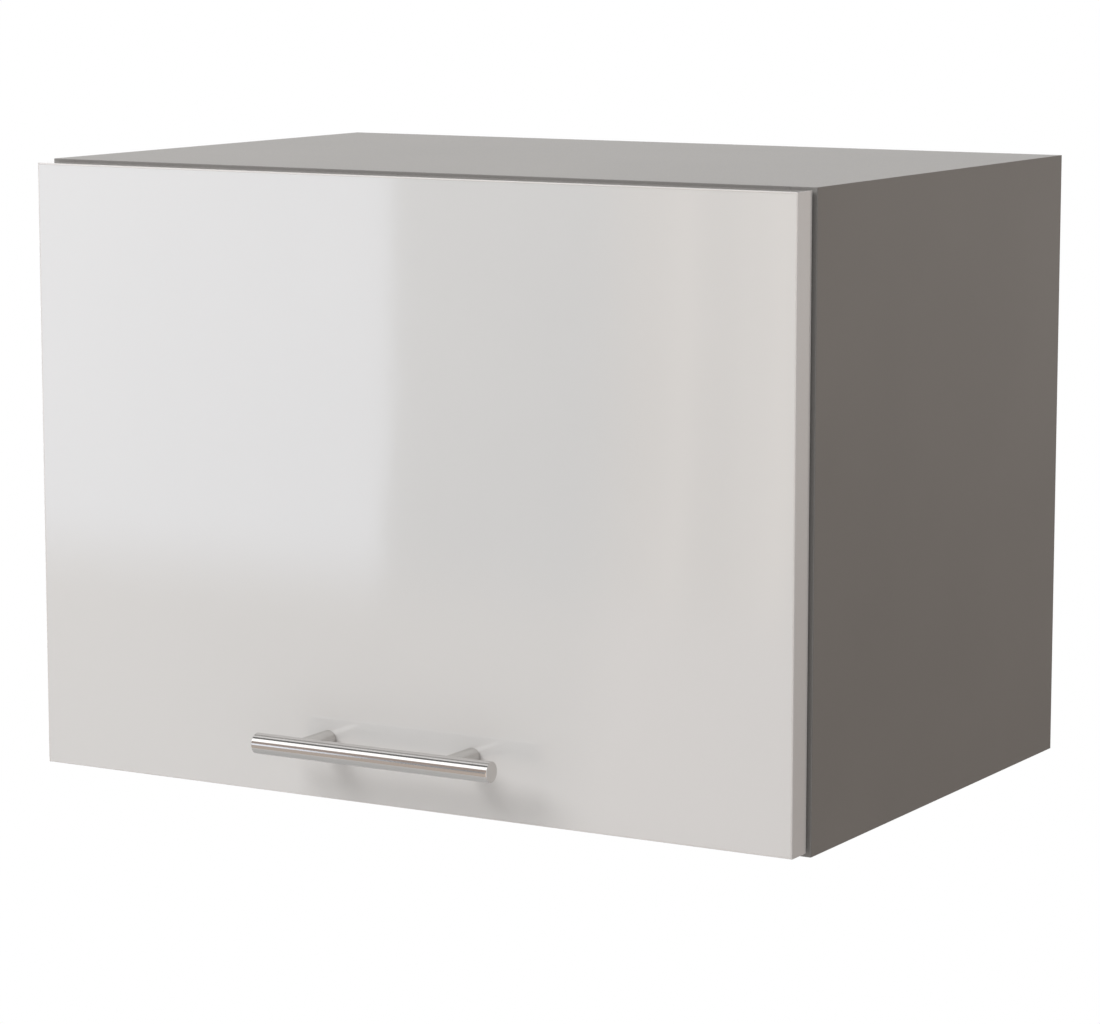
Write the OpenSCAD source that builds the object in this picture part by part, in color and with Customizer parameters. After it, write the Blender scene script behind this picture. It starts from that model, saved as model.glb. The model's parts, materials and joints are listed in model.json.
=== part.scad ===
// Lift-up wall cabinet. A box of melamine board is closed by one high-gloss flap
// door. The door turns on two cup hinges under the top panel, and a spring lever
// stay on each side panel carries it through a parallel linkage.
// Millimetres. The origin is on the wall plane, at the middle of the width, level
// with the underside. +X is to the right, the front faces -Y and +Z is up.

/* [Carcase] */
// Width over the side panels
body_w = 500; // [400:1:900]
// Height over the top and bottom panels
body_h = 361; // [290:1:450]
// Depth from the wall to the front edges
body_d = 328; // [260:1:420]
// Thickness of the carcase board
board_t = 16; // [13:0.5:20]
// Thickness of the band on the carcase's front edges
band_t = 0.8; // [0.4:0.1:2]
// Thickness of the back panel
back_t = 3; // [2:0.5:5]
// Distance from the wall plane to the back panel
back_inset = 18; // [15:1:25]
// Depth of the grooves that hold the back panel
groove_depth = 8; // [6:0.5:10]
// Distance from the front and rear edges to the nearest cam fitting
fitting_inset = 50; // [40:1:70]

/* [Door] */
// Thickness of the door's core board
core_t = 16; // [15:0.5:22]
// Thickness of the gloss sheet on the door's face
sheet_t = 1; // [0.5:0.1:2]
// Thickness of the band around the door
door_band_t = 1; // [0.6:0.1:1.5]
// Radius of the door band's edges
door_edge_r = 0.6; // [0.2:0.1:0.9]
// Gap between the closed door and the carcase
door_gap = 1.5; // [1:0.1:3]
// Reveal from the cabinet's sides to the door
side_reveal = 2; // [1:0.5:4]
// Reveal from the cabinet's top to the door
top_reveal = 1.5; // [0.5:0.5:3]
// Reveal from the cabinet's underside to the door
bottom_reveal = 2.5; // [1:0.5:5]
// Diameter of the door buffers
buffer_d = 8; // [6:0.5:12]

/* [Handle] */
// Diameter of the handle bar
bar_d = 12; // [10:0.5:16]
// Length of the handle bar
bar_len = 156; // [130:1:240]
// Distance between the handle's fixing holes
handle_spacing = 96; // [64:32:192]
// Diameter of the handle posts
post_d = 11; // [8:0.5:12]
// Distance from the door's face to the bar's axis
bar_reach = 28.8; // [22:0.2:40]
// Height of the handle above the door's lower edge
handle_height = 34.5; // [25:0.5:80]
// Thread diameter of the handle screws
handle_screw_d = 4; // [3:0.5:5]

/* [Cup hinges] */
// Distance from the cabinet's side to the middle of a hinge
hinge_inset = 100; // [85:1:120]
// Diameter of the hinge cup
cup_d = 35; // [34:0.5:42]
// Depth of the hinge cup
cup_depth = 11.5; // [11:0.1:12.5]
// Board left between the cup's bore and the door's upper edge
cup_edge = 5; // [4.5:0.5:6.5]
// Distance between the cup's two screws
cup_screw_spacing = 48; // [46:1:56]
// Distance from the carcase's front edge to the mounting plate's screws
plate_setback = 37; // [34:1:45]
// Distance between the mounting plate's two screws
plate_screw_spacing = 32; // [30:1:40]
// Distance from the door's back face to the turning axis, inside the door
axis_in = 8.5; // [7.5:0.5:9.5]
// Clearance of the turning door from the carcase's front edge
swing_clearance = 0.4; // [0.3:0.1:0.8]

/* [Lever stays] */
// Distance from the carcase's front edge to the lever's axle
axle_setback = 85; // [75:1:110]
// Drop from the top panel's underside to the lever's axle
axle_drop = 35; // [34:1:50]
// Distance from the door's back face to the bracket's pin
bracket_reach = 22; // [18:1:30]
// Drop from the door's turning axis to the bracket's pin
bracket_drop = 75; // [60:1:90]
// Thickness of the levers, links and bracket ears
lever_t = 3; // [2:0.5:4]
// Width of the stay's housing
housing_w = 52; // [50:1:62]
// Height of the stay's housing
housing_h = 134; // [130:1:150]
// Depth of the stay's housing, from the side panel
housing_t = 18; // [17.5:0.5:22]
// Wall of the stay's cover
cover_wall = 1.5; // [1:0.1:1.8]
// Travel of the plunger while the door opens
plunger_travel = 8; // [5:0.5:9]
// Radius of the pins in the linkage
link_pin_r = 3; // [2.5:0.1:3.5]

/* [Hangers] */
// Length of the hanger block, from front to rear
hanger_len = 55; // [50:1:65]
// Height of the hanger block
hanger_h = 55; // [50:1:65]
// Thickness of the hanger block
hanger_t = 18; // [16:1:22]
// Thickness of the hook plate
hook_t = 4; // [3:0.5:5]
// Height of the hook plate's shank
hook_h = 12; // [10:0.5:14]
// Drop of the hook's lip below its shank
lip_drop = 14; // [8:0.5:16]
// Height setting of the hook, up or down from the middle
hook_travel = 5; // [3:0.5:6]

/* [Fasteners] */
// Diameter of the wood screws
screw_d = 3.5; // [3:0.5:4]
// Length of the wood screws
screw_len = 15; // [10:0.5:15]
// Diameter of the wood dowels
dowel_d = 8; // [6:1:10]
// Length of the wood dowels
dowel_len = 30; // [25:1:40]
// Diameter of the cam fittings
cam_d = 15; // [12:0.5:18]
// Distance from a panel's end to the middle of a cam fitting
cam_setback = 34; // [30:1:40]

/* [Fits] */
// Clearance around pieces that are fastened in place
seat_fit = 0.05; // [0.02:0.01:0.1]
// Radial clearance of the pieces that turn
running_fit = 0.08; // [0.03:0.01:0.1]
// Clearance beside the pieces that slide or pass each other
side_fit = 0.3; // [0.2:0.05:0.5]

/* [Hidden] */
$fn = 64;
inner_w = body_w - 2 * board_t;
inner_top = body_h - board_t;

// The back panel stands in grooves all round.
back_y = -back_inset - back_t;
back_grip = groove_depth - 0.5;

// The door, measured from the plane of the carcase's front edges.
door_w = body_w - 2 * side_reveal;
door_z0 = bottom_reveal;
door_z1 = body_h - top_reveal;
door_h = door_z1 - door_z0;
door_t = core_t + sheet_t;
door_face = -door_gap - door_t;

// The turning axis P lies inside the door. Its depth below the door's upper edge
// lets that edge's rear corner pass the carcase with the swing clearance.
axis_below = sqrt(pow(axis_in + door_gap - swing_clearance, 2) - pow(axis_in, 2));
P = [-door_gap - axis_in, door_z1 - axis_below];

// Lever stay: the lever, the link and the door are a parallelogram. B is the
// lever's axle, E the elbow pin and S the pin of the door's bracket, door closed.
S = P + [axis_in + bracket_reach, -bracket_drop];
B = [axle_setback, inner_top - axle_drop];
E = B + (S - P);
eye_r = 8;
link_head_r = 5.5;
link_head_t = 1.2;
layer_gap = 0.5;
lever_u = housing_t + layer_gap;
link_u = lever_u + lever_t + layer_gap;
link_head_u = link_u + lever_t + 0.2;

// Inside the stay's housing, u is the distance from the side panel.
base_t = 2;
shaft_u = (housing_t + base_t - cover_wall) / 2;
journal_r = 4;
hub_r = 6;
hex_r = 5;
cam_t = 5;
nose_r = 5;
pitch_r = 24;
cam_gap = side_fit;
nose_z = B[1] - pitch_r;
housing_z1 = B[1] + 21;
housing_z0 = housing_z1 - housing_h;
lug_top = 12;
lug_bottom = 13;
plunger_w = 14;
plunger_t = 10;
plunger_body = 12;
spigot_r = 3.4;
spigot_len = 16;
seat_z = housing_z0 + cover_wall + 3.5;
spring_r = 5.4;
wire_r = 1;
spring_turns = 9;
spring_steps = 12;
wire_sides = 6;

// Cup hinge: A is the arm's pin and C the cup's pin, placed from the axis P.
A = P + [1.05, -20];
C = P + [5.9, -5.35];
hinge_pin_r = 1.2;
hinge_link_t = 5.2;
hinge_link_r = 2.9;
hinge_link_len = 13.1;
fork_r = 1.95;
fork_root = 12.2;
hinge_link_angle = atan2(C[1] - A[1], C[0] - A[0]);
cup_wall = 1;
cup_floor = 0.8;
cup_flange_t = 1;
rim_notch = 2.8;
cup_z = door_z1 - cup_edge - cup_d / 2;
cup_screw_drop = 6;
nose_half = 5;
arm_half = 6.5;
arm_wall = 1.3;
arm_end = plate_setback + 29;
arm_z0 = inner_top - 13;
arm_z1 = inner_top - 3.2;
plate_t = 3;
hinge_x = body_w / 2 - hinge_inset;
arm_screw_ys = [plate_setback - 9, plate_setback + 13];

// Cabinet hangers, in the upper rear corners.
hanger_y1 = body_d - back_inset - back_t - 0.1;
hanger_y0 = hanger_y1 - hanger_len;
hanger_z1 = inner_top - 2;
hanger_z0 = hanger_z1 - hanger_h;
hook_u = hanger_t / 2 - hook_t / 2;
hook_z = (hanger_z0 + hanger_z1) / 2;
lip_t = 5;
lip_y1 = body_d - 3;
hanger_floor = 4;
hanger_cover_t = 1.5;
adjuster_r = 3;
adjuster_len = 8;

// Fasteners.
screw_head_r = 3.4;
screw_head_h = 2;
cam_h = 12.3;
bolt_r = 3;
bolt_head_r = 3.4;
bolt_in_side = 10;
dowel_in_side = 10;
system_pitch = 32;
bolt_ys = [fitting_inset, body_d - fitting_inset - 20];
dowel_ys = [bolt_ys[0] + system_pitch, bolt_ys[1] - system_pitch];
stay_screws = [
    [B[0] - 17, housing_z1 + 6],
    [B[0] + 17, housing_z1 + 6],
    [B[0], housing_z0 - 6.5]
];
hanger_screws = [
    [hanger_y1 - hanger_len / 2, hanger_z1 - 7],
    [hanger_y1 - hanger_len / 2, hanger_z0 + 7]
];
bracket_u = lever_u + 15.5;
bracket_screw_zs = [S[1] - 11, S[1] + 11];
bracket_t = 2.5;

// ---- helpers ----

// Places what is drawn from the left side panel's inner face (x) and the front
// plane (y). The right side is its mirror image.
module at_left() {
    translate([-inner_w / 2, -body_d, 0]) children();
}

module at_right() {
    mirror([1, 0, 0]) at_left() children();
}

module at_both() {
    at_left() children();
    at_right() children();
}

// Places what is drawn about a hinge's middle plane.
module at_hinge(side) {
    translate([side * hinge_x, -body_d, 0]) children();
}

// Extrudes a profile drawn in Y and Z along X, from x0 to x0 + t.
module yz_plate(x0, t) {
    translate([x0, 0, 0]) rotate([90, 0, 90]) linear_extrude(t) children();
}

// A round bar along X at the point p = [y, z].
module x_rod(p, r, x0, x1) {
    translate([x0, p[0], p[1]]) rotate([0, 90, 0]) cylinder(r = r, h = x1 - x0);
}

// A round bar along Y at the point p = [x, z].
module y_rod(p, r, y0, y1) {
    translate([p[0], y0, p[1]]) rotate([-90, 0, 0]) cylinder(r = r, h = y1 - y0);
}

// A rectangle with round corners, about its middle.
module rounded(size, r) {
    square([size[0] - 2 * r, size[1]], center = true);
    square([size[0], size[1] - 2 * r], center = true);
    for (sx = [-1, 1])
        for (sy = [-1, 1])
            translate([sx * (size[0] / 2 - r), sy * (size[1] / 2 - r)]) circle(r);
}

// A bar with round ends, from the point p to the point q.
module strap(p, q, r, width) {
    length = norm(q - p);
    translate(p) circle(r);
    translate(q) circle(r);
    translate(p)
        rotate(atan2(q[1] - p[1], q[0] - p[0]))
            translate([0, -width / 2]) square([length, width]);
}

// A screw with a low round head and a cross recess: it seats at z = 0 and its
// shank runs down.
module pan_screw(d, len, head_r, head_h) {
    tip = d / 2;
    difference() {
        rotate_extrude() {
            polygon([
                [0, -len], [d / 2, -len + tip], [d / 2, 0], [head_r, 0],
                [head_r, head_h * 0.45], [head_r * 0.72, head_h], [0, head_h]
            ]);
        }
        for (a = [0, 90])
            rotate(a)
                translate([-head_r * 0.55, -0.45, head_h * 0.35])
                    cube([head_r * 1.1, 0.9, head_h]);
    }
}

module wood_screw() {
    pan_screw(screw_d, screw_len, screw_head_r, screw_head_h);
}

pilot_r = screw_d / 2 + seat_fit;

// ---- carcase ----

// A side panel, from the left inner face outwards.
module side_panel() {
    groove_z0 = board_t - groove_depth - seat_fit;
    difference() {
        translate([-board_t, band_t, 0]) cube([board_t, body_d - band_t, body_h]);
        translate([-groove_depth, body_d + back_y - seat_fit, groove_z0])
            cube([groove_depth + 1, back_t + 2 * seat_fit, body_h - 2 * groove_z0]);
        for (z = [board_t / 2, body_h - board_t / 2]) {
            for (y = bolt_ys)
                x_rod([y, z], bolt_r + seat_fit, -bolt_in_side - seat_fit, 1);
            for (y = dowel_ys)
                x_rod([y, z], dowel_d / 2 + seat_fit, -dowel_in_side - 0.5, 1);
        }
        for (p = stay_screws)
            x_rod(p, pilot_r, base_t - screw_len - seat_fit, 1);
        for (p = hanger_screws)
            x_rod(p, pilot_r, hanger_floor - screw_len - seat_fit, 1);
    }
}

// The bottom panel. The top panel is the same panel turned over.
module flat_panel() {
    difference() {
        translate([-inner_w / 2, band_t - body_d, 0])
            cube([inner_w, body_d - band_t, board_t]);
        translate([-inner_w / 2 - 1, back_y - seat_fit, board_t - groove_depth - seat_fit])
            cube([inner_w + 2, back_t + 2 * seat_fit, groove_depth + 1]);
        at_both() {
            for (y = bolt_ys) {
                x_rod([y, board_t / 2], bolt_head_r + 0.3, -1, cam_setback + 3);
                translate([cam_setback, y, board_t - cam_h - 0.2])
                    cylinder(r = cam_d / 2 + seat_fit, h = cam_h + 1);
            }
            for (y = dowel_ys)
                x_rod([y, board_t / 2], dowel_d / 2 + seat_fit, -1,
                      dowel_len - dowel_in_side + 0.5);
        }
    }
}

module side_panel_left() {
    color("#6b6661") at_left() side_panel();
}

module side_panel_right() {
    color("#6b6661") at_right() side_panel();
}

module bottom_panel() {
    color("#6b6661") flat_panel();
}

module top_panel() {
    color("#6b6661") difference() {
        translate([0, 0, body_h]) mirror([0, 0, 1]) flat_panel();
        for (side = [-1, 1])
            at_hinge(side)
                for (s = [-1, 1])
                    translate([s * plate_screw_spacing / 2, plate_setback, inner_top - 1])
                        cylinder(r = pilot_r, h = screw_len - plate_t + 1 + seat_fit);
    }
}

module back_panel() {
    half = inner_w / 2 + back_grip;
    z0 = board_t - back_grip;
    window = 2;
    color("#8a857f") difference() {
        translate([-half, back_y, z0]) cube([2 * half, back_t, body_h - 2 * z0]);
        at_both()
            translate([hook_u - window, body_d + back_y - 1,
                       hook_z - hook_h / 2 - lip_drop - hook_travel - window])
                cube([hook_t + 2 * window, back_t + 2,
                      hook_h + lip_drop + 2 * hook_travel + 2 * window]);
    }
}

module side_edge_bands() {
    color("#6b6661") at_both()
        translate([-board_t, 0, 0]) cube([board_t, band_t, body_h]);
}

module top_bottom_edge_bands() {
    color("#6b6661")
        for (z = [0, inner_top])
            translate([-inner_w / 2, -body_d, z]) cube([inner_w, band_t, board_t]);
}

module wood_dowels() {
    chamfer = 0.8;
    r = dowel_d / 2;
    color("burlywood") at_both()
        for (z = [board_t / 2, body_h - board_t / 2])
            for (y = dowel_ys)
                translate([-dowel_in_side, y, z]) rotate([0, 90, 0]) rotate_extrude()
                    polygon([
                        [0, 0], [r - chamfer, 0], [r, chamfer], [r, dowel_len - chamfer],
                        [r - chamfer, dowel_len], [0, dowel_len]
                    ]);
}

// Draws a fitting at each corner joint, with z = 0 on the panel's outer face.
module at_fittings() {
    for (top = [0, 1])
        translate([0, 0, top * body_h]) mirror([0, 0, top])
            at_both()
                for (y = bolt_ys) translate([0, y, 0]) children();
}

module cam_locks() {
    color("silver") at_fittings() difference() {
        translate([cam_setback, 0, board_t - cam_h]) cylinder(r = cam_d / 2, h = cam_h);
        x_rod([0, board_t / 2], bolt_head_r + 0.3, 0, cam_setback + 3);
        for (a = [45, 135])
            translate([cam_setback, 0, board_t - 2]) rotate(a)
                translate([-4, -0.6, 0]) cube([8, 1.2, 3]);
    }
}

module cam_bolts() {
    neck = 24;
    color("silver") at_fittings()
        translate([0, 0, board_t / 2]) rotate([0, 90, 0]) rotate_extrude()
            polygon([
                [0, -bolt_in_side], [bolt_r, -bolt_in_side + 1], [bolt_r, 0],
                [bolt_head_r, 0], [bolt_head_r, neck], [2, neck + 1], [2, cam_setback - 4],
                [bolt_head_r, cam_setback - 3], [bolt_head_r, cam_setback + 1],
                [0, cam_setback + 2]
            ]);
}

module cam_caps() {
    cap_r = cam_d / 2 + 1.2;
    color("#77726c") at_fittings()
        translate([cam_setback, 0, board_t]) rotate_extrude()
            polygon([[0, 0], [cap_r, 0], [cap_r, 0.4], [cap_r - 0.8, 1], [0, 1]]);
}

// Every wood screw in the carcase: stays, hangers and hinge plates.
module cabinet_screws() {
    color("silver") {
        at_both() {
            for (p = stay_screws)
                translate([base_t, p[0], p[1]]) rotate([0, 90, 0]) wood_screw();
            for (p = hanger_screws)
                translate([hanger_floor, p[0], p[1]]) rotate([0, 90, 0]) wood_screw();
        }
        for (side = [-1, 1])
            at_hinge(side)
                for (s = [-1, 1])
                    translate([s * plate_screw_spacing / 2, plate_setback, inner_top - plate_t])
                        rotate([180, 0, 0]) wood_screw();
    }
}

// ---- cabinet hangers ----

// The block holds the hook plate in a slot that is open to the rear.
module hanger_block() {
    slot_h = hook_h + 2 * hook_travel + 2 * side_fit;
    slot_len = hanger_len - adjuster_len - 2;
    difference() {
        yz_plate(0, hanger_t)
            translate([(hanger_y0 + hanger_y1) / 2, (hanger_z0 + hanger_z1) / 2])
                rounded([hanger_len, hanger_h], 4);
        translate([hook_u - side_fit, hanger_y1 - slot_len, hook_z - slot_h / 2])
            cube([hook_t + 2 * side_fit, slot_len + 1, slot_h]);
        for (p = hanger_screws) {
            x_rod(p, pilot_r, -1, hanger_floor + 1);
            x_rod(p, screw_head_r + 1, hanger_floor, hanger_t + 1);
        }
        for (z = [hanger_z0 + 9, hanger_z1 - 9])
            y_rod([hanger_t / 2, z], adjuster_r + seat_fit, hanger_y0 - 1,
                  hanger_y0 + adjuster_len);
    }
}

// The hook hangs its lip over the rail or plate on the wall.
module hanger_hook() {
    shank_y0 = hanger_y1 - hanger_len + adjuster_len + 8;
    z0 = hook_z - hook_h / 2;
    z1 = hook_z + hook_h / 2;
    yz_plate(hook_u, hook_t)
        polygon([
            [shank_y0, z0], [lip_y1 - lip_t, z0], [lip_y1 - lip_t, z0 - lip_drop + 2],
            [lip_y1 - lip_t + 1.5, z0 - lip_drop], [lip_y1, z0 - lip_drop],
            [lip_y1, z1 - 3], [lip_y1 - 3, z1], [shank_y0, z1]
        ]);
}

module hanger_block_left() {
    color("whitesmoke") at_left() hanger_block();
}

module hanger_block_right() {
    color("whitesmoke") at_right() hanger_block();
}

module hanger_hook_left() {
    color("silver") at_left() hanger_hook();
}

module hanger_hook_right() {
    color("silver") at_right() hanger_hook();
}

module hanger_covers() {
    color("white") at_both()
        yz_plate(hanger_t, hanger_cover_t)
            translate([(hanger_y0 + hanger_y1) / 2, (hanger_z0 + hanger_z1) / 2])
                rounded([hanger_len, hanger_h], 4);
}

module hanger_adjusters() {
    color("silver") at_both()
        for (z = [hanger_z0 + 9, hanger_z1 - 9])
            difference() {
                y_rod([hanger_t / 2, z], adjuster_r, hanger_y0 + 0.5,
                      hanger_y0 + adjuster_len - seat_fit);
                for (a = [0, 90])
                    translate([hanger_t / 2, hanger_y0, z]) rotate([0, a, 0])
                        translate([-2, 0, -0.5]) cube([4, 2, 1]);
            }
}

// ---- cup hinges ----

// A mounting plate with a wing for each screw and a ridge that the arm straddles.
module hinge_plate() {
    ridge_half = arm_half - arm_wall - side_fit;
    ridge_y0 = plate_setback - 16;
    ridge_y1 = plate_setback + 22;
    difference() {
        union() {
            translate([0, plate_setback, inner_top - plate_t]) linear_extrude(plate_t) {
                rounded([plate_screw_spacing + 14, 12], 3);
                translate([0, 3]) rounded([15, 38], 2);
            }
            translate([-ridge_half, ridge_y0, arm_z0 + arm_wall + 0.2])
                cube([2 * ridge_half, ridge_y1 - ridge_y0,
                      inner_top - plate_t - arm_z0 - arm_wall]);
        }
        for (s = [-1, 1])
            translate([s * plate_screw_spacing / 2, plate_setback, inner_top - plate_t - 1])
                cylinder(r = pilot_r, h = plate_t + 2);
        for (y = arm_screw_ys)
            translate([0, y, arm_z0])
                cylinder(r = 2 + seat_fit, h = 7.5);
    }
}

// A channel with a forked nose that reaches into the cup.
module hinge_arm() {
    difference() {
        union() {
            yz_plate(-nose_half, 2 * nose_half) {
                translate(A) circle(hinge_link_r);
                polygon([
                    [A[0], A[1] - hinge_link_r], [8, arm_z0], [14, arm_z0], [14, arm_z1],
                    [10, arm_z1], [4, A[1] + hinge_link_r], [A[0], A[1] + hinge_link_r]
                ]);
            }
            yz_plate(-arm_half, 2 * arm_half)
                polygon([[10, arm_z0], [arm_end, arm_z0], [arm_end, arm_z1], [10, arm_z1]]);
        }
        translate([-hinge_link_t / 2 - side_fit, A[0] - 10, A[1] - 10])
            cube([hinge_link_t + 2 * side_fit, 10 + hinge_link_r + 2, 20]);
        translate([-arm_half + arm_wall, 16, arm_z0 + arm_wall])
            cube([2 * (arm_half - arm_wall), arm_end, 20]);
        x_rod(A, hinge_pin_r + seat_fit, -10, 10);
        for (y = arm_screw_ys)
            translate([0, y, arm_z0 - 1]) cylinder(r = 2 + seat_fit, h = 5);
    }
}

// The link turns on the arm's pin, and its open fork guides the cup's pin.
module hinge_link() {
    yz_plate(-hinge_link_t / 2, hinge_link_t)
        translate(A) rotate(hinge_link_angle) difference() {
            strap([0, 0], [hinge_link_len, 0], hinge_link_r, 2 * hinge_link_r);
            circle(hinge_pin_r + running_fit);
            translate([fork_root, 0]) circle(fork_r);
            translate([fork_root, -fork_r]) square([10, 2 * fork_r]);
        }
}

module hinge_cup() {
    back = -door_gap;
    difference() {
        union() {
            y_rod([0, cup_z], cup_d / 2, back - cup_depth, back);
            translate([0, back + cup_flange_t, 0]) rotate([90, 0, 0])
                linear_extrude(cup_flange_t) {
                    translate([0, cup_z]) circle(cup_d / 2 + 1.5);
                    translate([0, cup_z - cup_screw_drop])
                        rounded([cup_screw_spacing + 10, 12], 4);
                }
        }
        y_rod([0, cup_z], cup_d / 2 - cup_wall, back - cup_depth + cup_floor, back + 5);
        x_rod(C, hinge_pin_r + seat_fit, -cup_d, cup_d);
        // The rim is notched where the link leans over it with the door open.
        translate([-hinge_link_t / 2 - side_fit, back - rim_notch, cup_z + cup_d / 2 - 3])
            cube([hinge_link_t + 2 * side_fit, rim_notch + 5, 10]);
        for (s = [-1, 1])
            y_rod([s * cup_screw_spacing / 2, cup_z - cup_screw_drop], pilot_r,
                  back - 1, back + 5);
    }
}

module hinge_plates() {
    color("silver") for (side = [-1, 1]) at_hinge(side) hinge_plate();
}

module hinge_arm_left() {
    color("silver") at_hinge(-1) hinge_arm();
}

module hinge_arm_right() {
    color("silver") at_hinge(1) hinge_arm();
}

module hinge_arm_pins() {
    color("gray") for (side = [-1, 1])
        at_hinge(side) x_rod(A, hinge_pin_r, -nose_half, nose_half);
}

module hinge_arm_screws() {
    color("silver") for (side = [-1, 1])
        at_hinge(side)
            for (y = arm_screw_ys)
                translate([0, y, arm_z0]) rotate([180, 0, 0]) pan_screw(4, 7, 3.2, 1.6);
}

module hinge_link_left() {
    color("silver") at_hinge(-1) hinge_link();
}

module hinge_link_right() {
    color("silver") at_hinge(1) hinge_link();
}

module hinge_cup_left() {
    color("silver") at_hinge(-1) hinge_cup();
}

module hinge_cup_right() {
    color("silver") at_hinge(1) hinge_cup();
}

module hinge_cup_pins() {
    rise = C[1] - cup_z;
    half = sqrt(pow(cup_d / 2, 2) - pow(rise + hinge_pin_r, 2));
    color("gray") for (side = [-1, 1])
        at_hinge(side) x_rod(C, hinge_pin_r, -half, half);
}

// ---- lever stays ----

// Base plate with the plunger's guides and the spring's seat.
module stay_base() {
    base_z0 = housing_z0 - lug_bottom;
    base_z1 = housing_z1 + lug_top;
    guide_gap = plunger_w / 2 + side_fit;
    guide_t = 2;
    difference() {
        union() {
            yz_plate(0, base_t)
                translate([B[0], (base_z0 + base_z1) / 2])
                    rounded([housing_w, base_z1 - base_z0], 5);
            for (s = [-1, 1])
                yz_plate(0, shaft_u + plunger_t / 2)
                    translate([B[0] + s * (guide_gap + guide_t / 2), nose_z - plunger_body])
                        square([guide_t, 28], center = true);
            translate([0, B[0] - 8, housing_z0 + cover_wall + side_fit])
                cube([housing_t - cover_wall - side_fit, 16,
                      seat_z - housing_z0 - cover_wall - side_fit]);
            translate([shaft_u, B[0], seat_z - 1]) cylinder(r = spigot_r, h = 9);
        }
        x_rod(B, journal_r + running_fit, -1, base_t + 1);
        for (p = stay_screws)
            x_rod(p, pilot_r, -1, base_t + 1);
    }
}

// A tray-shaped cover over the mechanism, with a hole for the lever's axle.
module stay_cover() {
    mid = [B[0], (housing_z0 + housing_z1) / 2];
    difference() {
        yz_plate(base_t, housing_t - base_t)
            translate(mid) rounded([housing_w, housing_h], 5);
        yz_plate(base_t - 1, housing_t - base_t - cover_wall + 1)
            translate(mid)
                rounded([housing_w - 2 * cover_wall, housing_h - 2 * cover_wall],
                        5 - cover_wall);
        x_rod(B, hub_r + running_fit, base_t, housing_t + 1);
    }
}

// Pitch radius of the cam: it falls evenly while the door turns through 90 degrees.
function pitch(a) = pitch_r - plunger_travel * a / 90;

// A point of the cam's working face, where the plunger's nose of radius r rolls
// along the pitch curve. The nose stands below the axle at a = 0.
function cam_point(a, r) = let(
    rate = -plunger_travel / 90 * 180 / PI,
    tangent = [rate, pitch(a)],
    inward = [-tangent[1], tangent[0]] / norm(tangent),
    local = [pitch(a), 0] + inward * r,
    t = a - 90
) [
    local[0] * cos(t) - local[1] * sin(t),
    local[0] * sin(t) + local[1] * cos(t)
];

// The back of the cam joins the two ends of the working face.
function cam_back(a0, a1, r0, r1, n) = [
    for (i = [1 : n - 1])
        let(t = a0 + (a1 - a0) * i / n, r = r0 + (r1 - r0) * i / n)
            [r * cos(t - 90), r * sin(t - 90)]
];

module cam_outline() {
    from = -8;
    to = 98;
    face = [for (a = [from : 2 : to]) cam_point(a, nose_r + cam_gap)];
    first = face[0];
    last = face[len(face) - 1];
    a_last = atan2(last[1], last[0]) + 90;
    a_first = atan2(first[1], first[0]) + 90 + 360;
    polygon(concat(face, cam_back(a_last, a_first, norm(last), norm(first), 40)));
}

// The camshaft: journal, hub and cam in one piece, with a six-sided end.
module stay_camshaft() {
    x_rod(B, journal_r, 0.2, base_t + 0.5);
    x_rod(B, hub_r, base_t + 0.5, lever_u);
    yz_plate(shaft_u - cam_t / 2, cam_t)
        translate(B) cam_outline();
    yz_plate(lever_u, lever_t)
        translate(B) circle(hex_r, $fn = 6);
    x_rod(B, hub_r + 0.5, lever_u + lever_t, lever_u + lever_t + 1.5);
}

module stay_lever() {
    yz_plate(lever_u, lever_t)
        difference() {
            strap(B, E, eye_r, 2 * eye_r - 3);
            translate(B) circle(hex_r + seat_fit, $fn = 6);
            translate(E) circle(link_pin_r + seat_fit);
        }
    // A raised ring stiffens the hub.
    difference() {
        x_rod(B, eye_r + 2, lever_u, lever_u + lever_t);
        x_rod(B, eye_r - 1, lever_u - 1, lever_u + lever_t + 1);
    }
}

// A pin with a head, from the lever's or the bracket's layer through the link.
module linkage_pin(p) {
    x_rod(p, link_pin_r, lever_u, link_head_u);
    x_rod(p, link_head_r, link_head_u, link_head_u + link_head_t);
}

module stay_link() {
    yz_plate(link_u, lever_t)
        difference() {
            strap(E, S, eye_r, 2 * eye_r - 4);
            translate(E) circle(link_pin_r + running_fit);
            translate(S) circle(link_pin_r + running_fit);
        }
}

// The round nose follows the cam and the spigot centres the spring.
module stay_plunger() {
    yz_plate(shaft_u - plunger_t / 2, plunger_t) {
        translate([B[0], nose_z]) circle(nose_r);
        translate([B[0] - nose_r, nose_z - plunger_body])
            square([2 * nose_r, plunger_body]);
        translate([B[0] - plunger_w / 2, nose_z - plunger_body])
            square([plunger_w, plunger_body - 3]);
    }
    translate([shaft_u, B[0], nose_z - plunger_body - spigot_len])
        cylinder(r = spigot_r, h = spigot_len + 1);
}

// Points of one ring of the spring's wire, at a part t of its length.
function spring_ring(t, height) = let(
    turn = 360 * spring_turns * t,
    z = wire_r + (height - 2 * wire_r) * t
) [
    for (k = [0 : wire_sides - 1])
        let(a = 360 * k / wire_sides, r = spring_r + wire_r * cos(a))
            [r * cos(turn), r * sin(turn), z + wire_r * sin(a)]
];

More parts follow.
